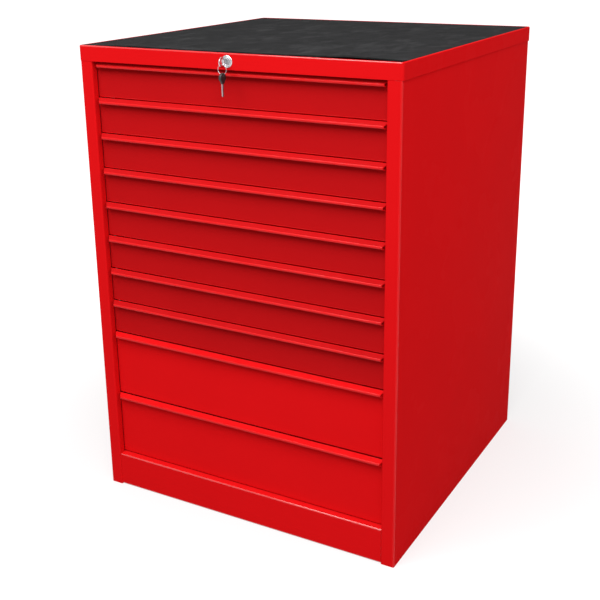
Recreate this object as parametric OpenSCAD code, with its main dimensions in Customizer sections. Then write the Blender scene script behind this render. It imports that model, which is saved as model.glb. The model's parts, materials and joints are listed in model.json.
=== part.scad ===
// Workshop drawer cabinet: eight low and two deep drawers on telescopic runners, one central lock.
// X points right, Y to the back and Z up. The origin is on the floor, in the middle of the footprint.

/* [Casing] */
// Width over the top cap
cap_w = 717; // [620:1:900]
// Depth of the cabinet
cab_d = 725; // [560:1:900]
// How far the cap stands out beyond the sides and the back
cap_overhang = 2; // [1:0.5:5]
// Thickness of the casing's steel sheet
sheet_t = 1.5; // [1:0.1:2]
// Inside radius of the casing's bends
bend_r = 1.5; // [0.8:0.1:2.5]
// Width of the upright strip beside the drawers
jamb_w = 29; // [25:1:45]
// Depth of the jamb's return edge
jamb_return = 15; // [10:1:25]
// Width of the side panels' rear flange
rear_flange = 25; // [20:1:40]
// Width of the side panels' foot and top flanges
foot_flange = 20; // [15:1:25]

/* [Plinth] */
// Height of the plinth under the lowest drawer
plinth_h = 78; // [60:1:120]
// How far the plinth's face lies behind the jambs
plinth_recess = 1.5; // [1:0.5:10]
// Gap between the plinth and the ground
plinth_gap = 1; // [1:0.5:5]
// Depth of the ledge on top of the plinth
plinth_ledge = 30; // [24:1:50]
// Depth of the floor panel's side edges
floor_edge = 20; // [12:1:30]

/* [Cap] */
// Height of the cap's front and sides
cap_h = 32; // [30:1:50]
// Depth of the tray for the mat
cap_tray = 4; // [3.5:0.5:6]
// Radius of the fold along the rim's outer edge
rim_r = 2.5; // [1.5:0.5:3]
// Radius of the cap's upright corners
cap_corner = 5; // [3:0.5:10]
// Depth of the edge turned back under the cap's front
cap_return = 12; // [8:1:15]
// Seam between the cap's front and the jambs
seam = 0.3; // [0.2:0.1:1]
// Thickness of the worktop mat
mat_t = 3.5; // [2:0.5:3.5]
// Clearance round the mat
mat_gap = 0.5; // [0.5:0.5:4]

/* [Drawers] */
// Number of low drawers
low_n = 8; // [1:1:8]
// Number of deep drawers
deep_n = 2; // [1:1:2]
// Height taken by a low drawer
low_h = 74; // [72:1:90]
// Height taken by a deep drawer
deep_h = 148; // [110:1:200]
// Gap between one front and the next
drawer_gap = 2.5; // [2:0.5:5]
// Gap between the top front and the cap
top_gap = 2; // [2:0.5:5]
// Gap between a front and the jambs
side_gap = 2; // [1:0.5:4]
// How far the fronts lie behind the jambs
face_recess = 16; // [14:0.5:22]
// Sheet thickness of the fronts
front_t = 1.2; // [0.8:0.1:1.5]
// Depth of a front's turned edges
front_edge = 10; // [8:1:15]
// Height of the lip handle
lip_drop = 15; // [13:0.5:18]
// Angle of the lip's slope below the horizontal
lip_angle = 36; // [30:1:38]
// How far the lip's hem turns back
lip_hem = 4; // [3:0.5:5]
// Sheet thickness of the trays
tray_t = 1; // [0.8:0.1:1.2]
// Height of the trays' double rim
tray_rim = 8; // [5:1:12]
// Height of the front that stays above the tray
tray_drop = 8; // [6:1:12]
// Gap under the tray, above the front's turned edge
tray_lift = 0.5; // [0.3:0.1:2]
// Space behind the trays for the lock bar
rear_space = 42; // [40:1:60]

/* [Runners] */
// Width of a closed runner
runner_w = 12.7; // [12.5:0.1:14]
// Height of a runner
runner_h = 45; // [44:1:50]
// Sheet thickness of the runner members
runner_t = 1.2; // [1:0.1:1.4]
// Space for the balls between two members
race = 4.1; // [3.6:0.1:4.4]
// Running clearance of the ball cages
cage_gap = 0.3; // [0.2:0.05:0.5]
// How much shorter a runner is than its tray
runner_short = 40.8; // [30:0.1:60]
// How much a runner keeps back of its own length when it is out
runner_keep = 20; // [0:1:60]
// Width of the slotted posts
post_w = 30; // [24:1:40]
// How far the posts stand out beyond the jambs' inner edges
post_inset = 2; // [1:0.5:4]
// Height of the runners' hooks
hook_h = 8; // [6:1:10]

/* [Lock] */
// Diameter of the lock's body
lock_d = 16; // [15:0.5:17]
// Diameter of the lock's collar
collar_d = 24; // [20:0.5:26]
// Thickness of the lock's collar
collar_t = 2; // [1.5:0.5:3]
// Length of the lock's body behind the collar
lock_l = 22; // [18:1:30]
// Diameter of the turning plug
plug_d = 12; // [10:0.5:12.5]
// Radial running clearance of plug and rod
turn_gap = 0.05; // [0.03:0.01:0.08]
// Diameter of the lock rod
rod_d = 8; // [6:0.5:8]
// Throw of the crank that works the lock bar
crank_e = 5.5; // [5:0.1:6]
// Diameter of the crank's pin
pin_d = 4; // [3:0.5:4]
// Width of the lock bar
bar_w = 24; // [22:1:30]
// Thickness of the lock bar
bar_t = 3; // [2:0.5:4]
// Clearance of the lock bar in its guides
bar_gap = 0.3; // [0.2:0.05:0.5]

/* [Keys] */
// Diameter of the key's bow
bow_d = 20; // [18:0.5:24]
// Diameter of the hole in the bow
bow_hole = 10; // [9:0.5:10]
// Thickness of the key
key_t = 2; // [1.5:0.1:2.4]
// Length of the key's shank in front of the lock
key_neck = 5; // [3:0.5:8]
// Middle diameter of the key ring
ring_d = 18.4; // [18:0.2:24]
// Diameter of the ring's wire
wire_d = 1.4; // [1:0.1:1.6]
// Length of the spare key's blade
blade_l = 29; // [20:1:35]
// Width of the spare key's head
head_w = 22; // [18:0.5:24]
// Height of the spare key's head
head_h = 24; // [20:0.5:26]
// Thickness of the spare key's head
head_t = 5; // [4:0.5:5.5]

/* [Hidden] */
$fn = 48;
RED = [0.86, 0.05, 0.06];
ZINC = [0.72, 0.73, 0.75];
STEEL = [0.55, 0.56, 0.58];
BLACK = [0.08, 0.08, 0.08];

// The drawers count from the top
drawer_n = low_n + deep_n;
function drawer_h(i) = i <= low_n ? low_h : deep_h;
function drawer_top(i) = i == 1 ? stack_top : drawer_top(i - 1) - drawer_h(i - 1);
function front_z(i) = drawer_top(i) - drawer_h(i) + drawer_gap;
function tray_z(i) = front_z(i) + front_t + front_bend + tray_lift;
function tray_h(i) = drawer_top(i) - tray_drop - tray_z(i);
stack_top = plinth_h + low_n * low_h + deep_n * deep_h;
cap_z = stack_top + top_gap;
cab_h = cap_z + cap_h;
mat_z = cab_h - cap_tray;
web_top = mat_z - sheet_t;
// The rim is a flat hem, two sheets thick
rim_w = 2 * sheet_t;

// Planes of the casing
cap_x = cap_w / 2;
body_x = cap_x - cap_overhang;
web_x = body_x - sheet_t;
open_x = body_x - jamb_w;
front_y = -cab_d / 2;
body_y = cab_d / 2 - cap_overhang;
panel_y = body_y - 2 * sheet_t;
panel_x = web_x - bend_r - 0.2;
plinth_y = front_y + plinth_recess;
floor_z = plinth_h - sheet_t;

// Planes of the drawers
front_x = open_x - side_gap;
face_y = front_y + face_recess;
tray_y = face_y + front_t;
tray_back = panel_y - rear_space;
post_x = open_x - post_inset;
tray_x = post_x - runner_w;
front_bend = 1.5;
lip_y = front_y + front_t / 2 + 0.5;

// Runners
runner_y = tray_y + front_edge + 1.5;
runner_l = tray_back - tray_y - runner_short;
travel = runner_l - runner_keep;
runner_lift = 31;
cage_short = 20;
cage_l = runner_l / 2 - cage_short;
post_in = 20;
post_ys = [runner_y + post_in, runner_y + runner_l - post_in];
lip_in = 2.2;

// Lock work
lock_z = cap_z + cap_h / 2;
crank_a = 45;
bar_drop = 2 * crank_e * sin(crank_a);
bar_x = (crank_e * cos(crank_a) + crank_e) / 2;
bar_y = panel_y - 2 - bar_t;
bar_top = web_top - 1.5;
pin_play = 0.35;
crank_t = 4;
crank_r = crank_e + pin_d / 2 + 1.5;
catch_d = 16;
catch_w = 30;
catch_t = 1.5;
catch_up = 25;
catch_h = bar_drop + 2.5;
latch_gap = 1.2;
latch_t = 3;
latch_l = bar_drop + 0.5;
latch_w = 16;
bar_foot = 12;
guide_t = 2;
guide_h = 25;
guide_foot = 12;
bearing_w = 30;
bearing_l = 14;
function latch_z(i) = tray_z(i) + catch_up + catch_h + latch_gap;
screw_d = 4.8;
screw_n = 5;

// Keys
key_y = front_y - collar_t;
hole_y = key_y - key_neck - bow_d / 2;
rim_mid = (bow_d + bow_hole) / 4;
ring_hang = ring_d / 2 - wire_d / 2 - (bow_d - bow_hole) / 4 - 0.5;
ring_z = lock_z - rim_mid - ring_hang;
spare_z = ring_z - ring_d / 2;
spare_hole = 5;
spare_drop = spare_hole / 2 - wire_d / 2 - 0.6;
head_top = spare_z - spare_drop + spare_hole / 2 + 2.5;
tip = head_top - head_h - blade_l;

function drawer_node(i, piece) = str("drawer_", i, "_", piece);

// A folded sheet of thickness t whose middle follows the points p, with inside bend radius r
function unit(v) = v / norm(v);
function left(v) = [-v.y, v.x];
function turned(v, a) = [v.x * cos(a) - v.y * sin(a), v.x * sin(a) + v.y * cos(a)];
function bend_angle(u, v) = atan2(u.x * v.y - u.y * v.x, u * v);
function edge(p, s, r) = [
    for (i = [0 : len(p) - 1])
        let (u = unit(i > 0 ? p[i] - p[i - 1] : p[1] - p[0]),
             v = i > 0 && i < len(p) - 1 ? unit(p[i + 1] - p[i]) : u,
             a = bend_angle(u, v), g = sign(a))
        if (abs(a) < 0.01) p[i] + s * left(u)
        else let (c = p[i] - r * tan(abs(a) / 2) * u + g * r * left(u))
            for (k = [0 : 3]) c + turned((s - g * r) * left(u), a * k / 3)];
module fold(p, t, r) {
    side_a = edge(p, t / 2, r + t / 2);
    side_b = edge(p, -t / 2, r + t / 2);
    polygon(concat(side_a, [for (i = [len(side_b) - 1 : -1 : 0]) side_b[i]]));
}
function arc(c, r, a0, a1) = [for (k = [0 : 4]) c + turned([r, 0], a0 + (a1 - a0) * k / 4)];

// A block between two corners
module block(a, b) translate(a) cube(b - a);
// Draws a profile of Y and Z, width w along X
module along_x(w) rotate([90, 0, 90]) linear_extrude(w, center = true) children();
// Draws a profile of X and Z from y0 to y1
module along_y(y0, y1) translate([0, y1, 0]) rotate([90, 0, 0]) linear_extrude(y1 - y0) children();
// A rod along Y
module rod(d, y0, y1) along_y(y0, y1) circle(d = d);
module both_sides() { children(); mirror([1, 0, 0]) children(); }

module right_panel() {
    t = sheet_t / 2;
    difference() {
        linear_extrude(web_top) fold([
            [open_x + t, front_y + jamb_return], [open_x + t, front_y + t],
            [body_x - t, front_y + t], [body_x - t, body_y - t],
            [body_x - rear_flange, body_y - t]], sheet_t, bend_r);
        // The jamb ends at the cap's front, and the web runs on up inside the cap
        block([0, front_y - 1, cap_z - seam],
              [cap_x, front_y + max(jamb_return, cap_return) + 1, cab_h]);
        screw_places() rod(screw_d + 0.2, panel_y - 1, body_y + 1);
    }
    for (z = [0, web_top - sheet_t])
        block([body_x - foot_flange, front_y + cap_return + sheet_t + 5, z],
              [web_x + t, panel_y - 0.2, z + sheet_t]);
    // A gusset closes the jamb's hollow at the height of the floor panel
    block([open_x + t, front_y + t, floor_z - sheet_t], [web_x + t, front_y + jamb_return, floor_z]);
}
module left_side_panel() color(RED) mirror([1, 0, 0]) right_panel();
module right_side_panel() color(RED) right_panel();

module screw_places() {
    pitch = (cap_z - plinth_h) / screw_n;
    for (s = [-1, 1], k = [0 : screw_n - 1])
        translate([s * (body_x - rear_flange / 2 - 2), 0, plinth_h + pitch * (k + 0.5)]) children();
}
module back_panel() color(RED) difference() {
    block([-panel_x, panel_y, plinth_gap], [panel_x, panel_y + sheet_t, web_top - 0.5]);
    screw_places() rod(screw_d + 0.2, panel_y - 1, body_y + 1);
}
module back_panel_screws() color(ZINC) screw_places() {
    rod(screw_d, panel_y - 5, body_y + 1);
    rod(2 * screw_d, body_y, body_y + cap_overhang - 0.2);
}

module floor_panel() color(RED) along_y(front_y + jamb_return + 1, panel_y) fold([
    [-web_x + sheet_t / 2, floor_z - floor_edge], [-web_x + sheet_t / 2, floor_z - sheet_t / 2],
    [web_x - sheet_t / 2, floor_z - sheet_t / 2], [web_x - sheet_t / 2, floor_z - floor_edge]],
    sheet_t, bend_r);

module front_plinth() color(RED) along_x(2 * (open_x - seam)) fold([
    [plinth_y + jamb_return, plinth_gap + sheet_t / 2],
    [plinth_y + sheet_t / 2, plinth_gap + sheet_t / 2],
    [plinth_y + sheet_t / 2, plinth_h - sheet_t / 2],
    [plinth_y + plinth_ledge, plinth_h - sheet_t / 2]], sheet_t, bend_r);

// A profile of half width x from z0 to z1, its two upper corners rounded
module round_top(x, z0, z1, r)
    polygon(concat([[-x, z0], [x, z0]], arc([x - r, z1 - r], r, 0, 90), arc([r - x, z1 - r], r, 90, 180)));
module round_rect(x, y, r) polygon(concat(
    arc([x - r, y - r], r, 0, 90), arc([r - x, y - r], r, 90, 180),
    arc([r - x, r - y], r, 180, 270), arc([x - r, r - y], r, 270, 360)));
// The cap's outline, moved in by d, from z0 to z1
module cap_block(d, z0, z1)
    translate([0, 0, z0]) linear_extrude(z1 - z0)
        round_rect(cap_x - d, cab_d / 2 - d, max(cap_corner - d, 1));
module top_cap() color(RED) difference() {
    union() {
        difference() {
            intersection() {
                cap_block(0, cap_z, cab_h);
                along_x(cap_w) round_top(cab_d / 2, cap_z, cab_h, rim_r);
                along_y(front_y, -front_y) round_top(cap_x, cap_z, cab_h, rim_r);
            }
            cap_block(rim_w, mat_z, cab_h + 1);
            cap_block(sheet_t, cap_z - 1, web_top);
        }
        block([-open_x, front_y + sheet_t / 2, cap_z], [open_x, front_y + cap_return, cap_z + sheet_t]);
    }
    translate([0, 0, lock_z]) rod(lock_d + 2 * turn_gap, front_y - 1, front_y + sheet_t + 1);
}

module worktop_mat() color(BLACK) cap_block(rim_w + mat_gap, mat_z, mat_z + mat_t);

// Places of the runners' hooks, up and down from the runner's middle
hook_zs = [-runner_h / 4, runner_h / 4];
function runner_z(i) = tray_z(i) + runner_lift;

module slotted_posts() color(ZINC) both_sides() for (y = post_ys) difference() {
    t = sheet_t / 2;
    translate([0, 0, floor_z]) linear_extrude(cap_z - floor_z - 2) fold([
        [web_x, y - post_w / 2 + t], [post_x + t, y - post_w / 2 + t],
        [post_x + t, y + post_w / 2 - t], [web_x, y + post_w / 2 - t]], sheet_t, bend_r);
    for (i = [1 : drawer_n], z = hook_zs)
        translate([post_x + t, y, runner_z(i) + z]) cube([2 * sheet_t, 2.5, hook_h + 1], center = true);
}

// The three members of a runner: u runs from the post to the tray, v up from the middle
function channel(u0, u1, v) = [[u1, v], [u0, v], [u0, -v], [u1, -v]];
outer_v = (runner_h - runner_t) / 2;
middle_v = outer_v - runner_t - race;
inner_v = middle_v - runner_t - race;
middle_u = 2 * runner_t + 0.6;
inner_u = runner_w - runner_t / 2;
module runner_place(i) both_sides() translate([post_x, 0, runner_z(i)]) mirror([1, 0, 0]) children();
module outer_profile() {
    p = channel(runner_t / 2, runner_w - 2.5, outer_v);
    fold(concat([[p[0].x, outer_v - lip_in]], p, [[p[3].x, lip_in - outer_v]]), runner_t, 0.5);
}
module middle_profile() fold(channel(middle_u, runner_w - 2, middle_v), runner_t, 0.5);
module inner_profile() fold(channel(inner_u, middle_u + runner_t + 1, inner_v), runner_t, 0.5);

module cabinet_rails() color(ZINC) for (i = [1 : drawer_n]) runner_place(i) {
    along_y(runner_y, runner_y + runner_l) outer_profile();
    for (y = post_ys, z = hook_zs)
        translate([-sheet_t - 1, y, z]) cube([2 * sheet_t + 3, 2, hook_h], center = true);
}
module cage(y0, u0, u1, v) both_up() along_y(y0, y0 + cage_l)
    translate([u0, v + runner_t / 2 + cage_gap]) square([u1 - u0, race - 2 * cage_gap]);
module both_up() { children(); mirror([0, 0, 1]) children(); }
module drawer_runners(i) color(ZINC) runner_place(i) {
    along_y(runner_y, runner_y + runner_l) middle_profile();
    cage(runner_y + runner_l - cage_l, middle_u, runner_w - 4, middle_v);
    cage(runner_y, middle_u + runner_t + 1.2, runner_w - 2, inner_v);
}
module drawer_rails(i) color(ZINC) runner_place(i) along_y(runner_y, runner_y + runner_l) inner_profile();

module drawer_tray(i) color(RED) {
    z = tray_z(i);
    top = z + tray_h(i);
    difference() {
        block([-tray_x, tray_y, z], [tray_x, tray_back, top]);
        block([tray_t - tray_x, tray_y + tray_t, z + tray_t],
              [tray_x - tray_t, tray_back - tray_t, top - tray_rim]);
        block([2 * tray_t - tray_x, tray_y + 2 * tray_t, top - tray_rim - 1],
              [tray_x - 2 * tray_t, tray_back - 2 * tray_t, top + 1]);
    }
    // The catch that the lock bar holds
    y = tray_back + catch_t / 2;
    c = z + catch_up;
    translate([bar_x, 0, 0]) along_x(catch_w) fold([
        [y, z + 8], [y, c], [y + catch_d, c], [y + catch_d, c + catch_h]], catch_t, 1);
}

module drawer_front(i) color(RED) {
    z0 = front_z(i);
    top = drawer_top(i);
    y = face_y + front_t / 2;
    r = front_bend + front_t / 2;
    // The fold at the top is sharper than a right angle, so its corner lies above the finished edge
    corner = top - front_t / 2 - r + r * tan((90 + lip_angle) / 2);
    hem = top - lip_drop + front_t / 2;
    along_x(2 * front_x) fold([
        [y + front_edge, z0 + front_t / 2], [y, z0 + front_t / 2], [y, corner],
        [lip_y, corner - (y - lip_y) * tan(lip_angle)], [lip_y, hem], [lip_y + lip_hem, hem]],
        front_t, front_bend);
    both_sides() block([front_x - front_t, y, z0 + front_t / 2],
                       [front_x, tray_y + front_edge, top - lip_drop]);
}

module lock_housing() color(ZINC) translate([0, 0, lock_z]) difference() {
    union() {
        rod(collar_d, front_y - collar_t, front_y);
        rod(lock_d, front_y - collar_t, front_y + lock_l);
    }
    rod(plug_d + 2 * turn_gap, front_y - collar_t - 1, front_y + lock_l + 1);
}
module lock_clip() color(STEEL) translate([0, 0, lock_z]) along_y(front_y + sheet_t, front_y + sheet_t + 1)
    difference() {
        translate([-lock_d / 2 - 3, -lock_d / 2 - 2]) square([lock_d + 6, lock_d + 3]);
        circle(d = lock_d);
        translate([-lock_d / 2, -lock_d]) square([lock_d, lock_d]);
    }
module lock_plug() color(ZINC) translate([0, 0, lock_z]) difference() {
    rod(plug_d, front_y - collar_t, front_y + lock_l + 2);
    block([-key_t / 2 - 0.2, front_y - collar_t - 1, -4.2], [key_t / 2 + 0.2, front_y + lock_l - 8, 4.2]);
    block([-2.7, front_y + lock_l - 4, -2.7], [2.7, front_y + lock_l + 3, 2.7]);
}
module lock_rod() color(STEEL) translate([0, 0, lock_z]) {
    back = bar_y - 0.5;
    block([-2.65, front_y + lock_l - 4, -2.65], [2.65, front_y + lock_l + 2, 2.65]);
    rod(rod_d, front_y + lock_l + 2, back - crank_t);
    rod(2 * crank_r, back - crank_t, back);
    rotate([0, -crank_a, 0]) translate([crank_e, 0, 0]) rod(pin_d, back - 1, bar_y + bar_t + 1);
}
module lock_guides() color(ZINC) {
    // The rod's bearing hangs from the cap
    y = bar_y - crank_t - 6;
    difference() {
        union() {
            block([-bearing_w / 2, y, lock_z - rod_d], [bearing_w / 2, y + guide_t, web_top]);
            block([-bearing_w / 2, y - bearing_l, web_top - guide_t], [bearing_w / 2, y + 1, web_top]);
        }
        translate([0, 0, lock_z]) rod(rod_d + 2 * turn_gap, y - 1, y + guide_t + 1);
    }
    // Three guides hold the bar to the back panel
    x = bar_w / 2 + bar_gap + guide_t / 2;
    h = bar_y - bar_gap - guide_t / 2;
    foot = panel_y - guide_t / 2;
    for (i = [1, ceil(drawer_n / 2), drawer_n])
        translate([bar_x, 0, latch_z(i) + latch_l - bar_drop - 2 - guide_h / 2])
            linear_extrude(guide_h, center = true) fold([
                [-x - guide_foot, foot], [-x, foot], [-x, h],
                [x, h], [x, foot], [x + guide_foot, foot]], guide_t, 0.1);
}
module lock_bar() color(ZINC) {
    slot_x = crank_e * (1 - cos(crank_a)) + pin_d + 2 * pin_play;
    slot_z = lock_z + crank_e * sin(crank_a);
    difference() {
        block([bar_x - bar_w / 2, bar_y, plinth_h + bar_foot], [bar_x + bar_w / 2, bar_y + bar_t, bar_top]);
        translate([bar_x, bar_y + bar_t / 2, slot_z])
            cube([slot_x, 2 * bar_t, pin_d + 2 * pin_play], center = true);
    }
    for (i = [1 : drawer_n]) {
        z = latch_z(i);
        y = tray_back + catch_d / 2 - latch_t / 2;
        block([bar_x - latch_w / 2, y, z + latch_l], [bar_x + latch_w / 2, bar_y, z + latch_l + latch_t]);
        block([bar_x - latch_w / 2, y, z], [bar_x + latch_w / 2, y + latch_t, z + latch_l]);
    }
}

module key() color(ZINC) translate([0, 0, lock_z]) {
    rotate([90, 0, 90]) linear_extrude(key_t, center = true) difference() {
        union() {
            translate([hole_y, 0]) circle(d = bow_d);
            translate([hole_y + bow_d / 2 - 2, -5]) square([key_neck + 2 - 0.2, 10]);
            translate([key_y - 1, -3.8]) square([lock_l - 8, 7.6]);
        }
        translate([hole_y, 0]) circle(d = bow_hole);
    }
}
module key_ring() color(ZINC) translate([0, hole_y, ring_z]) rotate([90, 0, 0])
    rotate_extrude() translate([ring_d / 2, 0]) circle(d = wire_d, $fn = 24);
module spare_key_head() color(BLACK) translate([0, hole_y, 0]) along_x(head_t) difference() {
    hull() {
        translate([0, head_top - head_w / 2]) circle(d = head_w, $fn = 32);
        translate([-4.5, head_top - head_h]) square([9, 2]);
    }
    translate([0, spare_z - spare_drop]) circle(d = spare_hole, $fn = 24);
}
module spare_key_blade() color(ZINC) translate([0, hole_y, 0]) along_x(key_t)
    polygon([[-3, head_top - head_h], [3, head_top - head_h], [3, tip + 2], [0, tip], [-3, tip + 2]]);

left_side_panel();
right_side_panel();
back_panel();
back_panel_screws();
floor_panel();
front_plinth();
top_cap();
worktop_mat();
slotted_posts();
cabinet_rails();
for (i = [1 : drawer_n]) {
    drawer_tray(i);
    drawer_front(i);
    drawer_rails(i);
    drawer_runners(i);
}
lock_housing();
lock_clip();
lock_plug();
lock_rod();
lock_guides();
lock_bar();
key();
key_ring();
spare_key_head();
spare_key_blade();
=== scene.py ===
# Workshop drawer cabinet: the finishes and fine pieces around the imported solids.
# Laid out as an add-on and run as a script. Lengths are in metres.
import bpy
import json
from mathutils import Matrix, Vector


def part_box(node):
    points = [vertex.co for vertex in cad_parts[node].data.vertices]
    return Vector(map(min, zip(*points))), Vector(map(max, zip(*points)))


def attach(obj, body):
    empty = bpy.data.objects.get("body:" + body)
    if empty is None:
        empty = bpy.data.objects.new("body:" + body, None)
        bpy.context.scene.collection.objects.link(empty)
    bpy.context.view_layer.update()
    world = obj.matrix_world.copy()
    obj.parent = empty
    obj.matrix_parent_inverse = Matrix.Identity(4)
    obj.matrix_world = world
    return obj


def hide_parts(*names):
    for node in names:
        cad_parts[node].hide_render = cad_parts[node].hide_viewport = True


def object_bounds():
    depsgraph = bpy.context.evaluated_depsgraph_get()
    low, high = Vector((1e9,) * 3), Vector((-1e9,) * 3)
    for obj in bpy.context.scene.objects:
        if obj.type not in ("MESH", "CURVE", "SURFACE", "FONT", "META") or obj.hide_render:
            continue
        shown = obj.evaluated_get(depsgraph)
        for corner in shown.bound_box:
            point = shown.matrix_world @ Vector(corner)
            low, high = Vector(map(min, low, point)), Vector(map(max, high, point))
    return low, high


bl_info = {
    "name": "Workshop drawer cabinet",
    "version": (1, 0, 0),
    "blender": (4, 5, 0),
    "location": "3D View > Sidebar > Cabinet",
    "description": "Dresses the packed cabinet: finishes, casing, mat, drawer fronts, lock and keys",
    "category": "Object",
}

import json
import math

import bmesh
import bpy
from mathutils import Matrix, Quaternion, Vector

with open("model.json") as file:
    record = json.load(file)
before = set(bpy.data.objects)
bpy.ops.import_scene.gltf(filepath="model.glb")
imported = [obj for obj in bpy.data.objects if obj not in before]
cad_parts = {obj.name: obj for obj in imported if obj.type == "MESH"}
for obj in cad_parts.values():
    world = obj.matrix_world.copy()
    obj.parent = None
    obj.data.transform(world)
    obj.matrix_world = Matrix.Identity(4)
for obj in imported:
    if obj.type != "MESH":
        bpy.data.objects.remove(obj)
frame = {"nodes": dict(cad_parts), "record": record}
CAD_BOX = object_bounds()
DRAWERS = sorted(int(name.split("_")[1]) for name in frame["nodes"]
                 if name.startswith("drawer_") and name.endswith("_front"))

# ---- finishes
# The material of each of the record's slots, and of three more coats of the paint; one of them, for the low
# drawers' fronts, is the paint darkened as painted shade
FINISHES = {
    "red_paint": "Red powder coat",
    "red_fronts": "Drawer front powder coat",
    "red_bends": "Rubbed red powder coat",
    "red_lips": "Handled red powder coat",
    "rubber_mat": "Worktop rubber",
    "zinc": "Bright zinc plate",
    "steel": "Bare lock steel",
    "chrome": "Polished chrome",
    "black_plastic": "Key head plastic",
}
# Finish, its colour setting, how much it shines, and its roughness from patch to patch. Hands rub
# the coat bright on the cap's and plinth's bends, and less on the lips and the upright corners.
PAINTS = (
    ("red_paint", "paint", 0.0005, (0.24, 0.30)),
    # the low drawers' fronts: the same paint made darker, painted shade for the shade under the lips
    ("red_fronts", "fronts", 0.0005, (0.28, 0.34)),
    ("red_bends", "paint", 1.0, (0.07, 0.11)),
    ("red_lips", "paint", 0.16, (0.18, 0.24)),
)
PAINT_DUST = (0.80, 0.20, 0.19, 1)
RUBBER_SHINE = 0.006
RUBBER_SCUFF = 2.6
RUBBER_DUST = 2.4
# Finish, its colour setting, share of that colour, roughness, and the marks' width and length
METALS = (
    ("zinc", "zinc", 1.0, (0.30, 0.45), 0.003, 0.05),
    ("steel", "zinc", 0.62, (0.38, 0.52), 0.002, 0.03),
    ("chrome", "chrome", 1.0, (0.08, 0.16), 0.0006, 0.012),
)
METAL_MARK = 1.15

# ---- sheet metal
SHEET = 0.0015
FOLD = 0.0015
FOLD_STEPS = 8
# Angles in radians: the least that stays sharp, and the least that counts as a fold
SHARP_FOLD = 0.6
LEAST_FOLD = 0.001
SAME_SPOT = 1e-6
# Cap: rim, broken edge, outer and inner folds, corners, and the sheet turned back under its front
RIM = 2 * SHEET
BROKEN = 0.0004
CAP_FOLD = 0.0025
TRAY_FOLD = 0.001
CAP_CORNER = 0.005
CORNER_LEAST = 0.001
CAP_RETURN = 0.012
RETURN_START = 0.0010
# Sides: widths of the flanges, and the clearances at the cap and the back panel
JAMB_RETURN = 0.015
REAR_FLANGE = 0.025
FOOT_FLANGE = 0.020
CAP_SEAM = 0.0003
NOTCH = 0.0025
FLANGE_START = 0.0024
BACK_GAP = 0.0002
# Drawer fronts: a low one's greatest height, laps over the solid's edges, and the lip's shape
FRONT_SHEET = 0.0012
FRONT_EDGE = 0.010
LOW_FRONT = 0.1
FRONT_LAP = 0.0010
SIDE_LAP = 0.0014
LIP_SLOPE = math.radians(36)
LIP_DROP = 0.012
LIP_OUT = 0.0118
LIP_HEM = 0.004
LIP_MITRE = 0.72
MITRED_END = 0.3  # least sideways turn of a lip's end face
# Rubbed strips: greatest width, straightness, turn at their edge, corner zone, distance below the cap
BEND_STRIP = 0.003
BEND_STRAIGHT = 0.9
BEND_TURN = (0.05, 0.8)
CORNER_ZONE = 0.008
CORNER_TOP = 0.001

# ---- worktop mat
MAT_THICK = 0.0026
MAT_BED = 0.0007
MAT_EDGE = (0, 0.0012, 0.003, 0.006, 0.011, 0.018, 0.028, 0.042)
MAT_CELLS = (40, 34)
# Its front edge lies forward over the rim by MAT_OVER, in full from RIDE_WIDTH beyond its left end
MAT_OVER = 0.0020
RIDE_WIDTH = 0.12
# Shares of the lift: at humps (middle, half width, share), everywhere, and where it rides on the rim
MAT_LIFTS = ((0.255, 0.060, 1.15), (-0.13, 0.085, 0.10))
LIFT_LEAST = 0.35
LIFT_RIDING = 0.98
LIFT_DEPTH = 0.045
# At the highest hump the edge is drawn back
MAT_PULL = 0.0008
PULL_DEPTH = 0.02
# Waves as (height, pace, start): of the lift, the outline, and the face lengthways, across and aslant
LIFT_RIPPLE = (0.06, 34, 0.6)
RIPPLE_REACH = 0.36
EDGE_WAVES = ((0.00025, 41, 1), (0.0002, 17, 0))
MAT_SWELL = ((0.00022, 9, 2.2), (1, 7, 0.8))
MAT_SLANT = (0.00012, 23, -17)
CALM_EDGE = 0.01

# ---- screws, lock and keys
SCREW_ROWS = 5
SCREW_HEAD = 0.0096
SCREW_RISE = 0.0018
SCREW_SHANK = (0.0024, 0.009)
SCREW_SIDES = 24
# The domed head as (share of its radius, height over the panel)
SCREW_DOME = ((1, 0), (1, 0.0005), (0.93, 0.0011), (0.76, 0.0015), (0.5, 0.00177))
# Its recess: depths of the mouth and the walls' foot, then the floor as (share of the cross, height)
RECESS_MOUTH = 0.00005
RECESS_DEPTH = 0.0011
RECESS_FLOOR = (0.4, 0.0004)
# Tables of points from here on are in millimetres, single sizes in metres. A quarter of the recess:
RECESS = ((1.9, -0.34), (1.95, 0), (1.9, 0.34), (1.0, 0.36), (0.42, 0.42), (0.36, 1.0))
# The lock collar's face as (radius, depth), its thread, and the plug's keyway
COLLAR = ((6.05, 0.5), (6.45, 0.1), (8.2, 0), (8.5, 0.2), (8.7, 0.7), (9.1, 0.8), (9.4, 0.4), (9.7, 0.2),
          (10.4, 0.3), (11.3, 0.8))
COLLAR_BORE = 0.00605
COLLAR_EDGE = (0.0015, 0.0020)
BARREL = 0.0080
THREAD_ROOT = 0.0076
THREAD_START = 0.0045
THREAD_PITCH = 0.0016
THREAD_TURNS = 11
PLUG_CORE = 0.0046
PLUG_FACE = 0.0016
PLUG_STEP = 0.0014
PLUG_SOFT = 0.0003
KEYWAY = ((-1.4, -4.4), (1.4, -4.4), (1.4, -1.0), (0.6, -0.4), (1.4, 0.4), (1.4, 4.4), (-1.4, 4.4))
# The key: its lower edge from the shank on, its tip from the end back, its upper edge, the bow's hole
KEY_CUTS = ((0, -4.8), (0, -3.6), (3, -3.6), (4.5, -1.8), (6, -3.6), (8, -2.4), (9.5, -3.2))
KEY_TIP = ((-2, -2.0), (0, -0.4), (0, 1.2), (-1.5, 3.6))
KEY_BACK = ((0, 3.6), (0, 4.8))
KEY_HOLE = 0.0060
KEY_GAP = 0.0004
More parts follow.
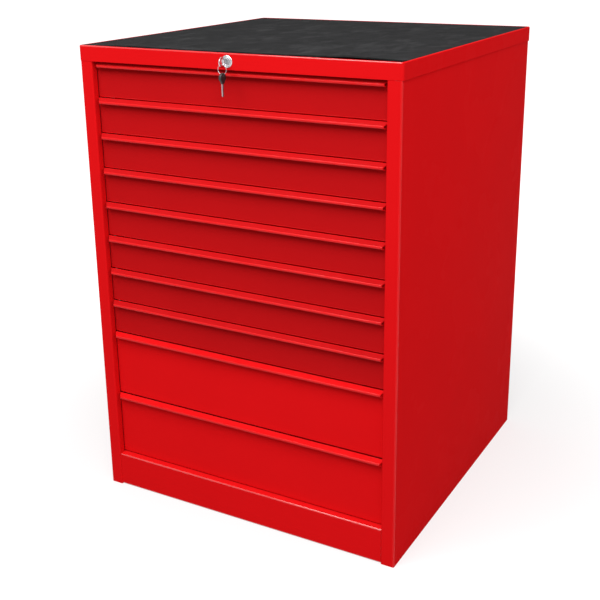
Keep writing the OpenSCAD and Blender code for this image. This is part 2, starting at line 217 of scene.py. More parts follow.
# The ring: turns, steps in a turn, start, how fast it crosses over, and its wire beside the solid's
RING_TURNS = 2
RING_STEPS = 96
RING_START = 0.7
RING_CROSSING = 5
RING_WIRE = 0.97
# The spare key: its size beside its solid, the head's foot, and the blade as (share of half width, height)
SPARE_SIZE = 0.85
SPARE_GAP = 0.0005
SPARE_HOLE = 0.0026
SPARE_FOOT = ((-6.2, 5.2), (-4.8, 1.2), (-4.0, 0.2), (4.0, 0.2), (4.8, 1.2), (6.2, 5.2))
SPARE_CUTS = ((-1, 2.2), (-0.4, 0.2), (0.3, 0.2), (1, 2.0), (1, 4.4), (0.62, 6.2), (0.62, 7.4), (1, 9.2),
              (0.8, 10.6), (0.35, 12.4), (0.35, 13.4), (0.9, 15.8), (0.55, 17.6), (0.55, 18.8), (1, 20.8))

# ---- stage
# Floor: half its width, its grey, and the distances over which it fades from dim to white
FLOOR_SIZE = 30
FLOOR_GREY = 0.38
FLOOR_FADE = (0.5, 1.6)
FLOOR_DIM = 0.62
SKY_DIM = 0.44
# Lamp, place, aim, size and watts
LAMPS = (
    ("Key lamp", (0.1, -1.9, 3.0), (0.0, -0.3, 0.6), (3.2, 2.0), 104),
    ("Side lamp", (3.0, -0.3, 2.7), (0.3, 0, 0.6), (1.2, 1.2), 30),
)
CAMERA_PLACE = (1.040, -1.941, 1.212)
CAMERA_TURNS = (29.37, 17.40, -0.73)  # yaw, pitch and roll in degrees
CAMERA_LENS = 60.0
CAMERA_SHIFT = -0.09


# ---- settings
# What the colours share, and the lengths
COLOUR = {"subtype": "COLOR", "size": 3, "min": 0, "max": 1}
LENGTH = {"subtype": "DISTANCE", "unit": "LENGTH"}


class CabinetLooks(bpy.types.PropertyGroup):
    """Colours and sizes that a user would change."""
    paint: bpy.props.FloatVectorProperty(
        name="Paint", description="Colour of the powder coat", default=(0.74, 0.007, 0.009), **COLOUR)
    # The front paint is the same coat made darker: painted shade for the recessed low fronts under their lips
    fronts: bpy.props.FloatVectorProperty(
        name="Front paint with painted shade", description="Colour of the low drawers' fronts, the same coat darkened as painted shade",
        default=(0.51, 0.0072, 0.009), **COLOUR)
    mat: bpy.props.FloatVectorProperty(
        name="Worktop mat", description="Colour of the rubber mat", default=(0.0165, 0.0165, 0.017), **COLOUR)
    zinc: bpy.props.FloatVectorProperty(
        name="Zinc", description="Colour of the plated runners and posts", default=(0.62, 0.63, 0.65), **COLOUR)
    chrome: bpy.props.FloatVectorProperty(
        name="Chrome", description="Colour of the lock and keys", default=(0.56, 0.56, 0.58), **COLOUR)
    plastic: bpy.props.FloatVectorProperty(
        name="Key head", description="Colour of the spare key's plastic head", default=(0.012, 0.012, 0.013),
        **COLOUR)
    fold_radius: bpy.props.FloatProperty(
        name="Fold radius", description="Outside radius of the drawer fronts' bends", min=0.0005, max=0.004,
        default=0.0022, **LENGTH)
    mat_lift: bpy.props.FloatProperty(
        name="Mat lift", description="How far the mat's front edge stands off", min=0, max=0.006,
        default=0.0026, **LENGTH)


# ---- node helpers
def fill(tree, node, inputs):
    """Sets or links a node's inputs by name or number."""
    for key, value in inputs.items():
        if isinstance(value, bpy.types.NodeSocket):
            tree.links.new(value, node.inputs[key])
        else:
            node.inputs[key].default_value = value


def add(tree, kind, inputs=None, **settings):
    """Adds a node, sets its fields and fills its inputs."""
    node = tree.nodes.new(kind)
    for field, value in settings.items():
        setattr(node, field, value)
    fill(tree, node, inputs or {})
    return node


def maths(tree, operation, first, second):
    """One value made from two."""
    return add(tree, "ShaderNodeMath", {0: first, 1: second}, operation=operation).outputs[0]


def remap(tree, value, start, end, low=0.0, high=1.0, **settings):
    """Maps a value from between a start and an end to a range, and holds it there beyond them."""
    return add(tree, "ShaderNodeMapRange", {"Value": value, "From Min": start, "From Max": end, "To Min": low,
                                            "To Max": high}, **settings).outputs["Result"]


def noise(tree, size, detail, roughness):
    """Noise with lumps of about a given size."""
    place = add(tree, "ShaderNodeTexCoord").outputs["Object"]
    scale = maths(tree, "DIVIDE", 1.0, size)
    return add(tree, "ShaderNodeTexNoise", {"Vector": place, "Scale": scale, "Detail": detail,
                                            "Roughness": roughness}).outputs["Fac"]


def group(name, kind, inputs, outputs):
    """A node group from {name: (type, default)} and {name: type}: its tree, given sockets and output node."""
    tree = bpy.data.node_groups.new(name, kind)
    for label, (values, default) in inputs.items():
        socket = tree.interface.new_socket(label, in_out="INPUT", socket_type="NodeSocket" + values)
        if default is not None:
            socket.default_value = default
    for label, values in outputs.items():
        tree.interface.new_socket(label, in_out="OUTPUT", socket_type="NodeSocket" + values)
    return tree, tree.nodes.new("NodeGroupInput").outputs, tree.nodes.new("NodeGroupOutput")


def use(tree, name, **inputs):
    """The outputs of a shader node group with its own values."""
    values = {label.replace("_", " "): value for label, value in inputs.items()}
    return add(tree, "ShaderNodeGroup", values, node_tree=bpy.data.node_groups[name]).outputs


# ---- shared effects
def make_sprayed_skin():
    """A sprayed or moulded skin: fine lumps, and slow changes of shade over the surface."""
    tree, given, out = group("Sprayed skin", "ShaderNodeTree",
                             {"Grain size": ("Float", 0.0022), "Patch size": ("Float", 0.12)},
                             {"Height": "Float", "Shade": "Float"})
    fill(tree, out, {"Height": noise(tree, given["Grain size"], detail=2.0, roughness=0.45),
                     "Shade": noise(tree, given["Patch size"], detail=3.0, roughness=0.5)})


def make_drawn_marks():
    """Long marks along one direction: brushing, rolling or wiping."""
    tree, given, out = group("Drawn marks", "ShaderNodeTree",
                             {"Width": ("Float", 0.004), "Length": ("Float", 0.12)},
                             {"Height": "Float", "Mask": "Float"})
    place = add(tree, "ShaderNodeTexCoord").outputs["Object"]
    across = maths(tree, "DIVIDE", 1.0, given["Width"])
    along = maths(tree, "DIVIDE", 1.0, given["Length"])
    scale = add(tree, "ShaderNodeCombineXYZ", {"X": across, "Y": along, "Z": across}).outputs[0]
    stretched = add(tree, "ShaderNodeVectorMath", {0: place, 1: scale}, operation="MULTIPLY").outputs[0]
    marks = add(tree, "ShaderNodeTexNoise", {"Vector": stretched, "Scale": 1.0, "Detail": 4.0,
                                             "Roughness": 0.6, "Distortion": 0.2}).outputs["Fac"]
    fill(tree, out, {"Height": marks, "Mask": remap(tree, marks, start=0.52, end=0.78)})


def make_settled_dust():
    """Dust: more of it on faces that look up, in soft patches."""
    tree, given, out = group("Settled dust", "ShaderNodeTree",
                             {"Patch size": ("Float", 0.05), "Amount": ("Float", 0.3)}, {"Mask": "Float"})
    normal = add(tree, "ShaderNodeNewGeometry").outputs["Normal"]
    up = add(tree, "ShaderNodeSeparateXYZ", {0: normal}).outputs["Z"]
    patches = noise(tree, given["Patch size"], detail=5.0, roughness=0.65)
    both = maths(tree, "MULTIPLY", remap(tree, up, start=0.2, end=0.95),
                 remap(tree, patches, start=0.35, end=0.75))
    fill(tree, out, {"Mask": maths(tree, "MULTIPLY", both, given["Amount"])})


# ---- materials
def material(name):
    """A new material's tree and Principled shader."""
    made = bpy.data.materials.new(name)
    made.use_nodes = True
    return made.node_tree, made.node_tree.nodes["Principled BSDF"]


def finish(slot):
    """The material of a slot."""
    return bpy.data.materials[FINISHES[slot]]


def times(colour, share):
    """A colour made brighter or darker, with its alpha."""
    return (*(min(1.0, channel * share) for channel in colour[:3]), 1)


def spread(tree, value, low, high):
    """Maps the middle of a noise to a range."""
    return remap(tree, value, 0.25, 0.75, low, high)


def mix(tree, mask, first, second):
    """Goes over from one colour to another by a mask."""
    return add(tree, "ShaderNodeMix", {0: mask, 6: first, 7: second}, data_type="RGBA").outputs[2]


def shades(tree, mask, colour, dark, light):
    """A colour that changes by a mask between two shares of itself."""
    return mix(tree, spread(tree, mask, 0, 1), times(colour, dark), times(colour, light))


def bump(tree, height, strength, distance):
    """The normal of a rough surface."""
    return add(tree, "ShaderNodeBump", {"Height": height, "Strength": strength,
                                        "Distance": distance}).outputs["Normal"]


def seen_white(tree):
    """1 for the rays that see the white studio: from the camera, off gloss and through glass."""
    rays = add(tree, "ShaderNodeLightPath").outputs
    shiny = maths(tree, "MAXIMUM", rays["Is Camera Ray"], rays["Is Glossy Ray"])
    return maths(tree, "MAXIMUM", shiny, rays["Is Transmission Ray"])


def make_finishes(looks):
    """Every material of the cabinet."""
    for slot, field, shine, rough in PAINTS:
        tree, shader = material(FINISHES[slot])
        skin = use(tree, "Sprayed skin", Grain_size=0.0024, Patch_size=0.16)
        dust = use(tree, "Settled dust", Patch_size=0.03, Amount=0.02)
        colour = shades(tree, skin["Shade"], getattr(looks, field), dark=0.975, light=1.02)
        fill(tree, shader, {"Base Color": mix(tree, dust["Mask"], colour, PAINT_DUST),
                            "Roughness": spread(tree, skin["Shade"], *rough), "Specular IOR Level": shine,
                            "Normal": bump(tree, skin["Height"], strength=0.12, distance=0.0004)})

    tree, shader = material(FINISHES["rubber_mat"])
    skin = use(tree, "Sprayed skin", Grain_size=0.0011, Patch_size=0.09)
    wiped = use(tree, "Drawn marks", Width=0.034, Length=0.085)
    dust = use(tree, "Settled dust", Patch_size=0.05, Amount=0.45)
    colour = shades(tree, skin["Shade"], looks.mat, dark=0.72, light=1.32)
    colour = mix(tree, wiped["Mask"], colour, times(looks.mat, RUBBER_SCUFF))
    fill(tree, shader, {"Base Color": mix(tree, dust["Mask"], colour, times(looks.mat, RUBBER_DUST)),
                        "Roughness": spread(tree, skin["Shade"], low=0.66, high=0.82),
                        "Specular IOR Level": RUBBER_SHINE,
                        "Normal": bump(tree, skin["Height"], strength=0.5, distance=0.0003)})

    for slot, field, share, rough, width, length in METALS:
        tree, shader = material(FINISHES[slot])
        metal = times(getattr(looks, field), share)
        skin = use(tree, "Sprayed skin", Grain_size=width * 0.7, Patch_size=length * 0.4)
        marks = use(tree, "Drawn marks", Width=width * 0.25, Length=length)
        colour = shades(tree, skin["Shade"], metal, dark=0.86, light=1.06)
        fill(tree, shader, {"Base Color": mix(tree, marks["Mask"], colour, times(metal, METAL_MARK)),
                            "Roughness": spread(tree, marks["Height"], *rough), "Metallic": 1.0,
                            "Normal": bump(tree, marks["Height"], strength=0.08, distance=0.0001)})

    tree, shader = material(FINISHES["black_plastic"])
    skin = use(tree, "Sprayed skin", Grain_size=0.0004, Patch_size=0.01)
    fill(tree, shader, {"Base Color": shades(tree, skin["Shade"], looks.plastic, dark=0.8, light=1.3),
                        "Roughness": spread(tree, skin["Shade"], low=0.34, high=0.46),
                        "Normal": bump(tree, skin["Height"], strength=0.3, distance=0.00008)})


def settle(piece, body, slot, *nodes, rubbed="red_bends"):
    """Puts a finished piece on its body, in its material slot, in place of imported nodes."""
    if not piece.data.materials:
        piece.data.materials.append(finish(slot))
    if slot == "red_paint":
        true_flats(piece)
        gloss_bends(piece, rubbed)
    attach(piece, body)
    if nodes:
        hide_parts(*nodes)
    return piece


# ---- objects and curves
def placed(name, data):
    """An object at the origin that holds a mesh or other data."""
    data.name = name
    piece = bpy.data.objects.new(name, data)
    bpy.context.scene.collection.objects.link(piece)
    return piece


def plain_mesh(source):
    """The mesh that an object's curve or modifiers end in; the object goes."""
    mesh = bpy.data.meshes.new_from_object(source.evaluated_get(bpy.context.evaluated_depsgraph_get()))
    bpy.data.objects.remove(source)
    return mesh


def add_line(curve, points, closed=False):
    """Adds a line of straight legs to a curve."""
    line = curve.splines.new("POLY")
    line.points.add(len(points) - 1)
    line.use_cyclic_u = closed
    for spot, point in zip(line.points, points):
        spot.co = (*point, 1)


# ---- geometry node trees
def end_tree(tree, out, geometry, made_of):
    """The last nodes of every tree: real geometry with its finish."""
    real = add(tree, "GeometryNodeRealizeInstances", {"Geometry": geometry})
    done = add(tree, "GeometryNodeSetMaterial", {"Geometry": real.outputs[0], "Material": made_of})
    fill(tree, out, {"Geometry": done.outputs[0]})


def grown(name, data, tree, **values):
    """Runs a tree on a curve or mesh and returns the plain mesh object."""
    source = placed(name + "_source", data)
    modifier = source.modifiers.new("Grow", "NODES")
    modifier.node_group = tree
    sockets = {s.name: s.identifier for s in tree.interface.items_tree if s.in_out == "INPUT"}
    for label, value in values.items():
        modifier[sockets[label.replace("_", " ")]] = value
    mesh = plain_mesh(source)
    mesh.materials.clear()
    mesh.materials.append(values["Finish"])
    mesh.polygons.foreach_set("material_index", [0] * len(mesh.polygons))
    return placed(name, mesh)


def folded_sheet_tree():
    """Sheet metal folded along a path and drawn out along a run, smooth over its folds."""
    tree, given, out = group(
        "Folded sheet", "GeometryNodeTree",
        {"Geometry": ("Geometry", None), "Run": ("Vector", (0, 0, 0)), "Thickness": ("Float", FRONT_SHEET),
         "Fold radius": ("Float", 0.002), "Fold steps": ("Int", FOLD_STEPS), "Finish": ("Material", None)},
        {"Geometry": "Geometry"})
    thickness = given["Thickness"]
    bent = add(tree, "GeometryNodeFilletCurve",
               {"Curve": given["Geometry"], "Radius": given["Fold radius"],
                "Count": given["Fold steps"]}, mode="POLY")
    path = add(tree, "GeometryNodeCurveToMesh", {"Curve": bent.outputs[0]})
    skin = add(tree, "GeometryNodeExtrudeMesh",
               {"Mesh": path.outputs[0], "Offset": given["Run"], "Offset Scale": 1.0}, mode="EDGES")
    normal = add(tree, "GeometryNodeInputNormal")
    aside = add(tree, "ShaderNodeVectorMath",
                {0: normal.outputs[0], "Scale": maths(tree, "MULTIPLY", thickness, -0.5)}, operation="SCALE")
    shifted = add(tree, "GeometryNodeSetPosition",
                  {"Geometry": skin.outputs["Mesh"], "Offset": aside.outputs[0]})
    thick = add(tree, "GeometryNodeExtrudeMesh",
                {"Mesh": shifted.outputs[0], "Offset Scale": thickness, "Individual": False}, mode="FACES")
    back = add(tree, "GeometryNodeFlipFaces", {"Mesh": shifted.outputs[0]})
    both = add(tree, "GeometryNodeJoinGeometry")
    tree.links.new(back.outputs[0], both.inputs[0])
    tree.links.new(thick.outputs["Mesh"], both.inputs[0])
    closed = add(tree, "GeometryNodeMergeByDistance", {"Geometry": both.outputs[0], "Distance": SAME_SPOT})
    smooth = add(tree, "GeometryNodeSetShadeSmooth", {"Geometry": closed.outputs[0], "Shade Smooth": True},
                 domain="FACE")
    angle = add(tree, "GeometryNodeInputMeshEdgeAngle")
    gentle = add(tree, "FunctionNodeCompare", {0: angle.outputs["Unsigned Angle"], 1: SHARP_FOLD},
                 data_type="FLOAT", operation="LESS_THAN")
    shaded = add(tree, "GeometryNodeSetShadeSmooth",
                 {"Geometry": smooth.outputs[0], "Shade Smooth": gentle.outputs[0]}, domain="EDGE")
    end_tree(tree, out, shaded.outputs[0], given["Finish"])
    return tree


def folded_sheet(name, x0, x1, path, thickness, radius):
    """A sheet folded along (y, z) points and drawn out from x0 to x1."""
    tree = bpy.data.node_groups.get("Folded sheet") or folded_sheet_tree()
    curve = bpy.data.curves.new(name, "CURVE")
    curve.dimensions = "3D"
    add_line(curve, [(x0, *point) for point in path])
    return grown(name, curve, tree, Run=(x1 - x0, 0, 0), Thickness=thickness, Fold_radius=radius,
                 Fold_steps=FOLD_STEPS, Finish=finish("red_paint"))


def screw_rows_tree():
    """Screws on points, each turned in its hole by chance."""
    tree, given, out = group(
        "Screw rows", "GeometryNodeTree",
        {"Geometry": ("Geometry", None), "Screw": ("Object", None), "Turn": ("Float", 1.0), "Seed": ("Int", 7),
         "Finish": ("Material", None)}, {"Geometry": "Geometry"})
    shape = add(tree, "GeometryNodeObjectInfo", {"Object": given["Screw"], "As Instance": True})
    chance = add(tree, "FunctionNodeRandomValue", {"Seed": given["Seed"]}, data_type="FLOAT")
    turn = maths(tree, "MULTIPLY", chance.outputs[1], given["Turn"])
    about = add(tree, "ShaderNodeCombineXYZ", {"Y": turn})
    set_in = add(tree, "GeometryNodeInstanceOnPoints",
                 {"Points": given["Geometry"], "Instance": shape.outputs["Geometry"],
                  "Rotation": about.outputs[0]})
    end_tree(tree, out, set_in.outputs[0], given["Finish"])
    return tree


# ---- outlines
def mm(points, u=0, v=0):
    """Points given in millimetres, counted from a start."""
    return [(u + a / 1000, v + b / 1000) for a, b in points]


def arc(centre, radius, start, end, steps):
    """Points of an arc, from one angle to another in degrees."""
    angles = [math.radians(start + (end - start) * k / steps) for k in range(steps + 1)]
    return [(centre[0] + radius * math.cos(a), centre[1] + radius * math.sin(a)) for a in angles]


def disc(centre, radius, corners):
    """Points all round a circle."""
    return arc(centre, radius, 0, 360 * (corners - 1) / corners, corners - 1)


def circle(radius, y, steps, centre=(0, 0), first=0):
    """Points of a circle about an axis along Y; first is the step it starts at."""
    angles = [2 * math.pi * (k + first) / steps for k in range(steps)]
    return [(centre[0] + radius * math.cos(a), y, centre[1] + radius * math.sin(a)) for a in angles]


def round_rect(x, y, radius, z, steps):
    """Points of a rectangle of half sizes x and y with round corners, at height z."""
    u, v = x - radius, y - radius
    return [(*point, z) for k, centre in enumerate(((u, v), (-u, v), (-u, -v), (u, -v)))
            for point in arc(centre, radius, 90 * k, 90 * k + 90, steps)]


def fold_pairs(path, thickness, radius):
    """Points on both skins of a sheet folded along its middle line."""
    pairs = []
    points = [Vector(p) for p in path]
    for k, point in enumerate(points):
        before = (point - points[k - 1]).normalized() if k else (points[1] - point).normalized()
        after = (points[k + 1] - point).normalized() if k + 1 < len(points) else before
        turn = math.atan2(before.x * after.y - before.y * after.x, before.dot(after))
        side = Vector((-before.y, before.x))
        if abs(turn) < LEAST_FOLD:
            pairs.append((point + side * thickness / 2, point - side * thickness / 2))
            continue
        way = math.copysign(1, turn)
        centre = point - before * radius * math.tan(abs(turn) / 2) + side * way * radius
        for n in range(FOLD_STEPS + 1):
            out = Matrix.Rotation(turn * n / FOLD_STEPS, 2) @ side
            pairs.append((centre + out * (thickness / 2 - way * radius),
                          centre - out * (thickness / 2 + way * radius)))
    return pairs


# ---- mesh helpers
def mesh_from(name, bm, smooth=math.radians(35)):
    """Ends a bmesh: faces outwards, smooth where the surface turns gently."""
    bmesh.ops.recalc_face_normals(bm, faces=bm.faces)
    for face in bm.faces:
        face.smooth = True
    for edge in bm.edges:
        edge.smooth = len(edge.link_faces) == 2 and edge.calc_face_angle(0) < smooth
    mesh = bpy.data.meshes.new(name)
    bm.to_mesh(mesh)
    bm.free()
    return placed(name, mesh)


def true_flats(piece):
    """Keeps large flat faces shaded flat beside their folds."""
    level = piece.modifiers.new("Flats", "WEIGHTED_NORMAL")
    level.keep_sharp = True
    level.weight = 100


def gloss_bends(piece, rubbed):
    """Gives the narrow strips round the outside bends at the front a coat that hands have rubbed."""
    cap_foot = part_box("top_cap")[0].z
    bm = bmesh.new()
    bm.from_mesh(piece.data)
    for face in bm.faces:
        edge = max(face.edges, key=lambda e: e.calc_length())
        length = edge.calc_length()
        end, other = (vert.co for vert in edge.verts)
        across = abs(end.x - other.x) > BEND_STRAIGHT * length and end.y < 0
        corner = (abs(end.z - other.z) > BEND_STRAIGHT * length and end.y < CAD_BOX[0].y / 2
                  and abs(end.x) > CAD_BOX[1].x - CORNER_ZONE and min(end.z, other.z) < cap_foot - CORNER_TOP)
        bends = any(len(e.link_faces) == 2 and e.calc_length() > length / 2
                    and BEND_TURN[0] < e.calc_face_angle_signed(0) < BEND_TURN[1] for e in face.edges)
        if (across or corner) and bends and face.calc_area() < BEND_STRIP * length:
            face.material_index = 1
    bm.to_mesh(piece.data)
    bm.free()
    piece.data.materials.append(finish(rubbed))


def loft(bm, rings, closed=False):
    """Joins rings of points by quads; the first and last are joined or filled."""
    rows = [[bm.verts.new(p) for p in ring] for ring in rings]
    n = len(rows[0])
    pairs = list(zip(rows, rows[1:])) + ([(rows[-1], rows[0])] if closed else [])
    for a, b in pairs:
        for k in range(n):
            bm.faces.new((a[k], a[(k + 1) % n], b[(k + 1) % n], b[k]))
    if not closed:
        bm.faces.new(rows[0])
        bm.faces.new(reversed(rows[-1]))


def turned(bm, section, centre, steps):
    """A form turned about an axis along Y: its closed section as (radius, y) points."""
    loft(bm, [circle(radius, y, steps, (centre.x, centre.z)) for radius, y in section], closed=True)


def slab(bm, low, high, soft=0.0002):
    """A block of sheet between two corners, its edges just broken."""
    made = bmesh.ops.create_cube(bm, size=1)["verts"]
    size = [b - a for a, b in zip(low, high)]
    for vert in made:
        vert.co = [a + (c + 0.5) * s for a, c, s in zip(low, vert.co, size)]
    edges = {edge for vert in made for edge in vert.link_edges}
    bmesh.ops.bevel(bm, geom=list(edges), offset=soft, segments=1, affect="EDGES")


def standing_sheet(bm, pairs, heights, kept):
    """A folded sheet that stands on its edge; kept(y, level) says which stretches of it are there."""
    spots = {}

    def at(k, side, level):
        """The vertex at a fold point, on one skin, at one height."""
        if (k, side, level) not in spots:
            spots[k, side, level] = bm.verts.new((*pairs[k][side], heights[level]))
        return spots[k, side, level]

    cells = {(k, n) for k in range(len(pairs) - 1) for n in range(len(heights) - 1)
             if kept((pairs[k][0].y + pairs[k + 1][0].y) / 2, n)}
    for k, n in cells:
        for side in (0, 1):
            bm.faces.new((at(k, side, n), at(k + 1, side, n), at(k + 1, side, n + 1), at(k, side, n + 1)))
        for beside, a, b in (((k - 1, n), (k, n), (k, n + 1)), ((k + 1, n), (k + 1, n), (k + 1, n + 1)),
                             ((k, n - 1), (k, n), (k + 1, n)), ((k, n + 1), (k, n + 1), (k + 1, n + 1))):
            if beside not in cells:
                bm.faces.new((at(a[0], 0, a[1]), at(b[0], 0, b[1]), at(b[0], 1, b[1]), at(a[0], 1, a[1])))


def plate(name, outlines, thickness, soft, put):
    """A flat piece cut to an outline, with holes, its edges rounded; put(u, v, w) places a point."""
    curve = bpy.data.curves.new(name, "CURVE")
    curve.dimensions = "2D"
    curve.fill_mode = "BOTH"
    curve.extrude = thickness / 2 - soft
    curve.bevel_depth = soft
    curve.bevel_resolution = 2
    curve.offset = -soft
    for outline in outlines:
        add_line(curve, [(u, v, 0) for u, v in outline], closed=True)
    bm = bmesh.new()
    bm.from_mesh(plain_mesh(placed(name, curve)))
    bmesh.ops.remove_doubles(bm, verts=bm.verts, dist=SAME_SPOT)
    for vert in bm.verts:
        vert.co = put(*vert.co)
    return mesh_from(name, bm, smooth=math.radians(50))


def wound(name, line, radius, sides=10):
    """A wire of round section along points, closed at its ends."""
    points = [Vector(p) for p in line]
    rings = []
    for k, point in enumerate(points):
        ahead = (points[min(k + 1, len(points) - 1)] - points[max(k - 1, 0)]).normalized()
        across = ahead.cross(Vector((0, 1, 0))).normalized()
        other = ahead.cross(across)
        rings.append([point + radius * (across * u + other * v) for u, _, v in circle(1, 0, sides)])
    bm = bmesh.new()
    loft(bm, rings)
    return mesh_from(name, bm, smooth=math.radians(60))


# ---- operators: finishes and casing
class CABINET_OT_finishes(bpy.types.Operator):
    """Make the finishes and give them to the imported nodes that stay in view"""
    bl_idname = "cabinet.finishes"
    bl_label = "Finishes"

    def execute(self, context):
        make_sprayed_skin()
        make_drawn_marks()
        make_settled_dust()
        make_finishes(context.scene.cabinet_looks)
        for part in frame["record"]["subparts"]:
            holder = frame["nodes"][part["node"]]
            if not holder.material_slots:
                holder.data.materials.append(None)
            for place in holder.material_slots:
                place.material = finish(part["material_slot"])
        return {"FINISHED"}


class CABINET_OT_cap(bpy.types.Operator):
    """Press the top cap: rolled rim, tray for the mat and the edge turned back under its front"""
    bl_idname = "cabinet.cap"
    bl_label = "Top cap"

    def execute(self, context):
        low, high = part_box("top_cap")
        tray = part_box("worktop_mat")[0].z
        # (inset from the cap's edge, height)
        profile = [(SHEET, tray - SHEET), (SHEET, low.z), (BROKEN, low.z), (0, low.z + BROKEN)]
        profile += arc((CAP_FOLD, high.z - CAP_FOLD), CAP_FOLD, start=180, end=90, steps=10)
        profile += arc((RIM - BROKEN, high.z - BROKEN), BROKEN, start=90, end=0, steps=3)
        profile += arc((RIM + TRAY_FOLD, tray + TRAY_FOLD), TRAY_FOLD, start=180, end=270, steps=4)
        bm = bmesh.new()
        loft(bm, [round_rect(high.x - inset, high.y - inset, max(CAP_CORNER - inset, CORNER_LEAST), z, steps=8)
                  for inset, z in profile])
        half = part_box("front_plinth")[1].x
        slab(bm, (-half, low.y + RETURN_START, low.z), (half, low.y + CAP_RETURN, low.z + SHEET))
        settle(mesh_from("cap", bm), "cabinet", "red_paint", "top_cap")
        return {"FINISHED"}


class CABINET_OT_mat(bpy.types.Operator):
    """Lay the thin rubber mat on the cap, with its lifted and waved front edge"""
    bl_idname = "cabinet.mat"
    bl_label = "Worktop mat"

    def execute(self, context):
        looks = context.scene.cabinet_looks
        low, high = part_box("worktop_mat")

        def stations(start, end, cells):
            """Places along a side, closer together at its ends."""
            margin = MAT_EDGE[-1]
            inner = [start + margin + (end - start - 2 * margin) * k / cells for k in range(1, cells)]
            return [start + e for e in MAT_EDGE] + inner + [end - e for e in reversed(MAT_EDGE)]

        def hump(x, middle, width):
            """A bell round a middle."""
            return math.exp(-((x - middle) / width) ** 2)

        def wave(x, height, pace, start):
            """A wave along one direction."""
            return height * math.sin(pace * x + start)

        def ride(x):
            """How far the front edge has climbed the rim, from 0 at the left to 1."""
            share = min(1.0, (x - low.x) / RIDE_WIDTH)
            return share * share * (3 - 2 * share)

        def top(x, y):
            """Height of the upper face."""
            lift = sum(share * hump(x, middle, width) for middle, width, share in MAT_LIFTS)
            lift += (wave(x, *LIFT_RIPPLE) * max(0, 1 - abs(x) / RIPPLE_REACH)
                     + LIFT_LEAST + LIFT_RIDING * ride(x))
            height, pace, slant = MAT_SLANT
            uneven = wave(x, *MAT_SWELL[0]) * wave(y, *MAT_SWELL[1]) + wave(x, height, pace, slant * y)
            rest = min(1.0, min(x - low.x, high.x - x) / CALM_EDGE) * 0.5 + 0.5
            front = max(0.0, 1 - (y - low.y) / LIFT_DEPTH)
            return low.z + MAT_THICK + MAT_BED + uneven * rest + looks.mat_lift * lift * front ** 2

        def spot(x, y):
            """Where a place of the flat mat comes to lie, seen from above."""
            shift = abs(sum(wave(x, *one) for one in EDGE_WAVES))
            pull = MAT_PULL * hump(x, *MAT_LIFTS[0][:2]) - MAT_OVER * ride(x)
            front = max(0.0, 1 - (y - low.y) / PULL_DEPTH)
            return x, y + (shift + pull) * front

        def rim(rows):
            """The vertices round the edge of a skin."""
            return (rows[0][:-1] + [row[-1] for row in rows[:-1]] + rows[-1][:0:-1]
                    + [row[0] for row in reversed(rows[1:])])

        xs, ys = stations(low.x, high.x, MAT_CELLS[0]), stations(low.y, high.y, MAT_CELLS[1])
        bm = bmesh.new()
        upper, lower = [[[bm.verts.new((*spot(x, y), top(x, y) - depth)) for x in xs] for y in ys]
                        for depth in (0, MAT_THICK)]
        for rows in (upper, lower):
            for a, b in zip(rows, rows[1:]):
                for k in range(len(xs) - 1):
                    quad = (a[k], a[k + 1], b[k + 1], b[k])
                    bm.faces.new(quad if rows is upper else reversed(quad))
        over_edge, under_edge = rim(upper), rim(lower)
        for k in range(len(over_edge)):
            n = (k + 1) % len(over_edge)
            bm.faces.new((under_edge[k], under_edge[n], over_edge[n], over_edge[k]))
        mat = settle(mesh_from("mat", bm), "cabinet", "rubber_mat", "worktop_mat")
        return {"FINISHED"}


class CABINET_OT_sides(bpy.types.Operator):
    """Fold the side panels with their jambs, rear flanges and the flanges at foot and top"""
    bl_idname = "cabinet.sides"
    bl_label = "Side panels"

    def execute(self, context):
        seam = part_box("top_cap")[0].z - CAP_SEAM
        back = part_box("back_panel")[0].y - BACK_GAP
        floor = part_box("floor_panel")[1].z
        t = SHEET / 2
        for side, sign in (("left", -1), ("right", 1)):
            low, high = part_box(f"{side}_side_panel")
            inner, outer = sorted((abs(low.x), abs(high.x)))
            # the jamb ends below the cap, which turns back into this notch
            notch = low.y + CAP_RETURN + SHEET + NOTCH
            path = [(inner + t, low.y + JAMB_RETURN), (inner + t, low.y + t), (outer - t, low.y + t),
                    (outer - t, notch), (outer - t, high.y - t), (outer - REAR_FLANGE, high.y - t)]
            bm = bmesh.new()
            standing_sheet(bm, fold_pairs(path, SHEET, FOLD + t), (low.z, seam, high.z),
                           lambda y, level: level == 0 or y > notch)
            for z in (low.z, high.z - SHEET):
                slab(bm, (outer - FOOT_FLANGE, notch + FLANGE_START, z), (outer - t, back, z + SHEET))
            slab(bm, (inner + t, low.y + t, floor - SHEET), (outer - t, low.y + JAMB_RETURN, floor))
            bmesh.ops.scale(bm, vec=(sign, 1, 1), verts=bm.verts)
            piece = mesh_from(f"{side}_side", bm)
            settle(piece, "cabinet", "red_paint", f"{side}_side_panel", rubbed="red_lips")
        return {"FINISHED"}


class CABINET_OT_plinth(bpy.types.Operator):
    """Fold the plinth under the drawers"""
    bl_idname = "cabinet.plinth"
    bl_label = "Plinth"

    def execute(self, context):
        low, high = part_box("front_plinth")
        t = SHEET / 2
        path = [(low.y + JAMB_RETURN, low.z + t), (low.y + t, low.z + t), (low.y + t, high.z - t),
                (high.y, high.z - t)]
        piece = folded_sheet("plinth", low.x, high.x, path, SHEET, FOLD + t)
        settle(piece, "cabinet", "red_paint", "front_plinth")
        return {"FINISHED"}


